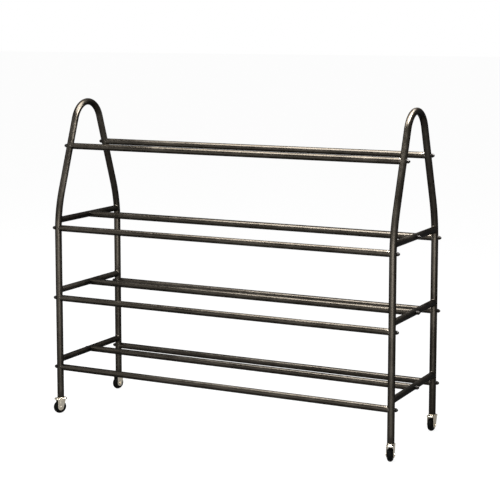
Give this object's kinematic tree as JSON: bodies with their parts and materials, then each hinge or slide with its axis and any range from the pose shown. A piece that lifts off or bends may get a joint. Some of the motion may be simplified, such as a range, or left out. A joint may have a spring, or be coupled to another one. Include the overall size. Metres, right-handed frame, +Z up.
{
  "type": "ball cart",
  "caption": "Rolling storage cart for sports balls: two arched tube end hoops joined by tiers of horizontal rails that cradle the balls, standing on small swivel casters.",
  "frame": {"origin": "on the floor, under the middle of the overall box with the casters turned as stored", "axes": "+X along the rails to the right-hand hoop, +Y from the front to the back, +Z up"},
  "size_m": [1.4232, 0.4766, 1.216],
  "materials": {
    "frame_coat": "glossy very dark brown-black coating",
    "bolt_black": "black satin",
    "zinc": "bright zinc plate",
    "tyre": "matte black"
  },
  "bodies": {
    "frame": {"hoop_left": "frame_coat", "hoop_right": "frame_coat", "crossbar_upper_left": "frame_coat", "crossbar_lower_left": "frame_coat", "crossbar_bottom_left": "frame_coat", "crossbar_upper_right": "frame_coat", "crossbar_lower_right": "frame_coat", "crossbar_bottom_right": "frame_coat", "rail_top_front": "frame_coat", "rail_top_back": "frame_coat", "rail_upper_front": "frame_coat", "rail_upper_middle": "frame_coat", "rail_upper_back": "frame_coat", "rail_lower_front": "frame_coat", "rail_lower_middle": "frame_coat", "rail_lower_back": "frame_coat", "rail_bottom_front": "frame_coat", "rail_bottom_middle": "frame_coat", "rail_bottom_back": "frame_coat", "bolt_top_front_left": "bolt_black", "bolt_top_front_right": "bolt_black", "bolt_top_back_left": "bolt_black", "bolt_top_back_right": "bolt_black", "bolt_upper_front_left": "bolt_black", "bolt_upper_front_right": "bolt_black", "bolt_upper_middle_left": "bolt_black", "bolt_upper_middle_right": "bolt_black", "bolt_upper_back_left": "bolt_black", "bolt_upper_back_right": "bolt_black", "bolt_lower_front_left": "bolt_black", "bolt_lower_front_right": "bolt_black", "bolt_lower_middle_left": "bolt_black", "bolt_lower_middle_right": "bolt_black", "bolt_lower_back_left": "bolt_black", "bolt_lower_back_right": "bolt_black", "bolt_bottom_front_left": "bolt_black", "bolt_bottom_front_right": "bolt_black", "bolt_bottom_middle_left": "bolt_black", "bolt_bottom_middle_right": "bolt_black", "bolt_bottom_back_left": "bolt_black", "bolt_bottom_back_right": "bolt_black", "caster_socket_front_left": "zinc", "caster_socket_back_left": "zinc", "caster_socket_front_right": "zinc", "caster_socket_back_right": "zinc"},
    "fork_front_left": {"caster_fork_front_left": "zinc", "caster_axle_front_left": "zinc"},
    "fork_back_left": {"caster_fork_back_left": "zinc", "caster_axle_back_left": "zinc"},
    "fork_front_right": {"caster_fork_front_right": "zinc", "caster_axle_front_right": "zinc"},
    "fork_back_right": {"caster_fork_back_right": "zinc", "caster_axle_back_right": "zinc"},
    "wheel_front_left": {"caster_wheel_front_left": "tyre"},
    "wheel_back_left": {"caster_wheel_back_left": "tyre"},
    "wheel_front_right": {"caster_wheel_front_right": "tyre"},
    "wheel_back_right": {"caster_wheel_back_right": "tyre"}
  },
  "joints": [
    {"name": "swivel_front_left", "type": "hinge", "parent": "frame", "child": "fork_front_left", "pos_m": [-0.686, -0.20918, 0.06], "axis": [0, 0, 1], "continuous": true},
    {"name": "swivel_back_left", "type": "hinge", "parent": "frame", "child": "fork_back_left", "pos_m": [-0.686, 0.21382, 0.06], "axis": [0, 0, 1], "continuous": true},
    {"name": "swivel_front_right", "type": "hinge", "parent": "frame", "child": "fork_front_right", "pos_m": [0.686, -0.20918, 0.06], "axis": [0, 0, 1], "continuous": true},
    {"name": "swivel_back_right", "type": "hinge", "parent": "frame", "child": "fork_back_right", "pos_m": [0.686, 0.21382, 0.06], "axis": [0, 0, 1], "continuous": true},
    {"name": "spin_front_left", "type": "hinge", "parent": "fork_front_left", "child": "wheel_front_left", "pos_m": [-0.68835, -0.21241, 0.025], "axis": [0.809, -0.5878, 0], "continuous": true},
    {"name": "spin_back_left", "type": "hinge", "parent": "fork_back_left", "child": "wheel_back_left", "pos_m": [-0.68724, 0.21002, 0.025], "axis": [0.9511, -0.309, 0], "continuous": true},
    {"name": "spin_front_right", "type": "hinge", "parent": "fork_front_right", "child": "wheel_front_right", "pos_m": [0.68676, -0.2131, 0.025], "axis": [0.9816, 0.1908, 0], "continuous": true},
    {"name": "spin_back_right", "type": "hinge", "parent": "fork_back_right", "child": "wheel_back_right", "pos_m": [0.68572, 0.20983, 0.025], "axis": [0.9976, -0.0698, 0], "continuous": true}
  ]
}
